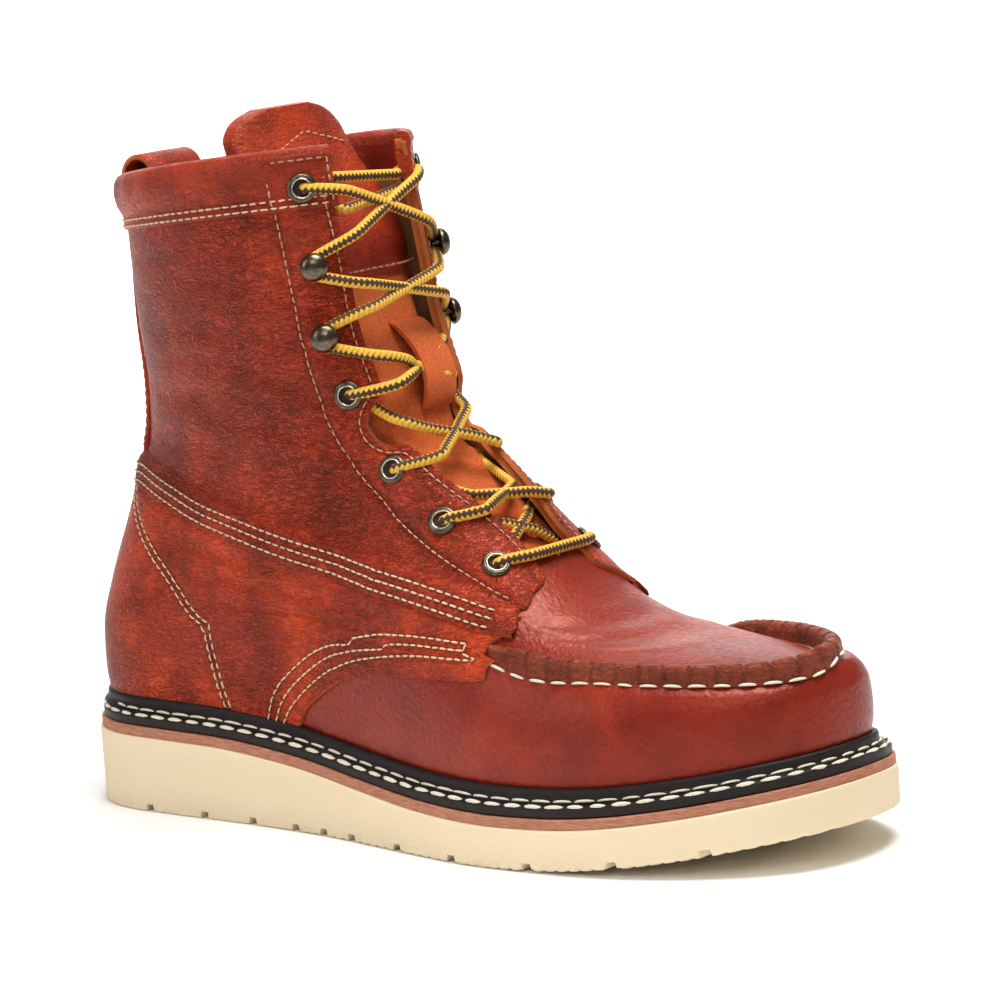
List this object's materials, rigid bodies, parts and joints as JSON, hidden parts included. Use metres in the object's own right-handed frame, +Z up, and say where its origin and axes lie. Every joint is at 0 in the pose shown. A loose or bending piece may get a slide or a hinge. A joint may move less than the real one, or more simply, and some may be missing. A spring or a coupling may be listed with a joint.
{
  "type": "moc toe work boot",
  "caption": "Right moc toe lace-up work boot with an eight-inch shaft, a storm welt and a thick flat wedge sole.",
  "frame": {"origin": "on the floor, under the middle of the heel's tread, on the boot's long axis", "axes": "+X towards the toe, +Y to the wearer's inner side (left on this right boot), +Z up"},
  "size_m": [0.308, 0.1097, 0.2426],
  "materials": {
    "wedge_rubber": "matte cream crepe-like rubber",
    "midsole_leather": "matte red-brown midsole",
    "welt_rubber": "satin black storm welt with white stitches",
    "insole_board": "plain tan leather board",
    "upper_leather": "oiled red-brown leather, pebbled grain",
    "panel_leather": "oiled red-brown leather, cut edges",
    "tongue_suede": "orange suede",
    "eyelet_brass": "antique brass",
    "hook_bronze": "dark antique brass",
    "lace_cord": "round braided cord, yellow with dark brown"
  },
  "bodies": {
    "root": {"outsole": "wedge_rubber", "midsole": "midsole_leather", "welt": "welt_rubber", "insole": "insole_board", "upper": "upper_leather", "facing_outer": "panel_leather", "facing_inner": "panel_leather", "quarter_outer": "panel_leather", "quarter_inner": "panel_leather", "heel_counter": "panel_leather", "collar_band": "panel_leather", "backstay": "panel_leather", "moc_seam": "panel_leather", "pull_loop": "panel_leather", "tongue": "tongue_suede", "eyelet_1_outer": "eyelet_brass", "eyelet_4_outer": "eyelet_brass", "eyelet_5_outer": "eyelet_brass", "eyelet_6_outer": "eyelet_brass", "eyelet_7_outer": "eyelet_brass", "eyelet_1_inner": "eyelet_brass", "eyelet_4_inner": "eyelet_brass", "eyelet_5_inner": "eyelet_brass", "eyelet_6_inner": "eyelet_brass", "eyelet_7_inner": "eyelet_brass", "hook_2_outer": "hook_bronze", "hook_3_outer": "hook_bronze", "hook_2_inner": "hook_bronze", "hook_3_inner": "hook_bronze", "lace_cross_1": "lace_cord", "lace_cross_2": "lace_cord", "lace_cross_3": "lace_cord", "lace_cross_4": "lace_cord", "lace_cross_5": "lace_cord", "lace_cross_6": "lace_cord", "lace_bar": "lace_cord"}
  },
  "joints": []
}
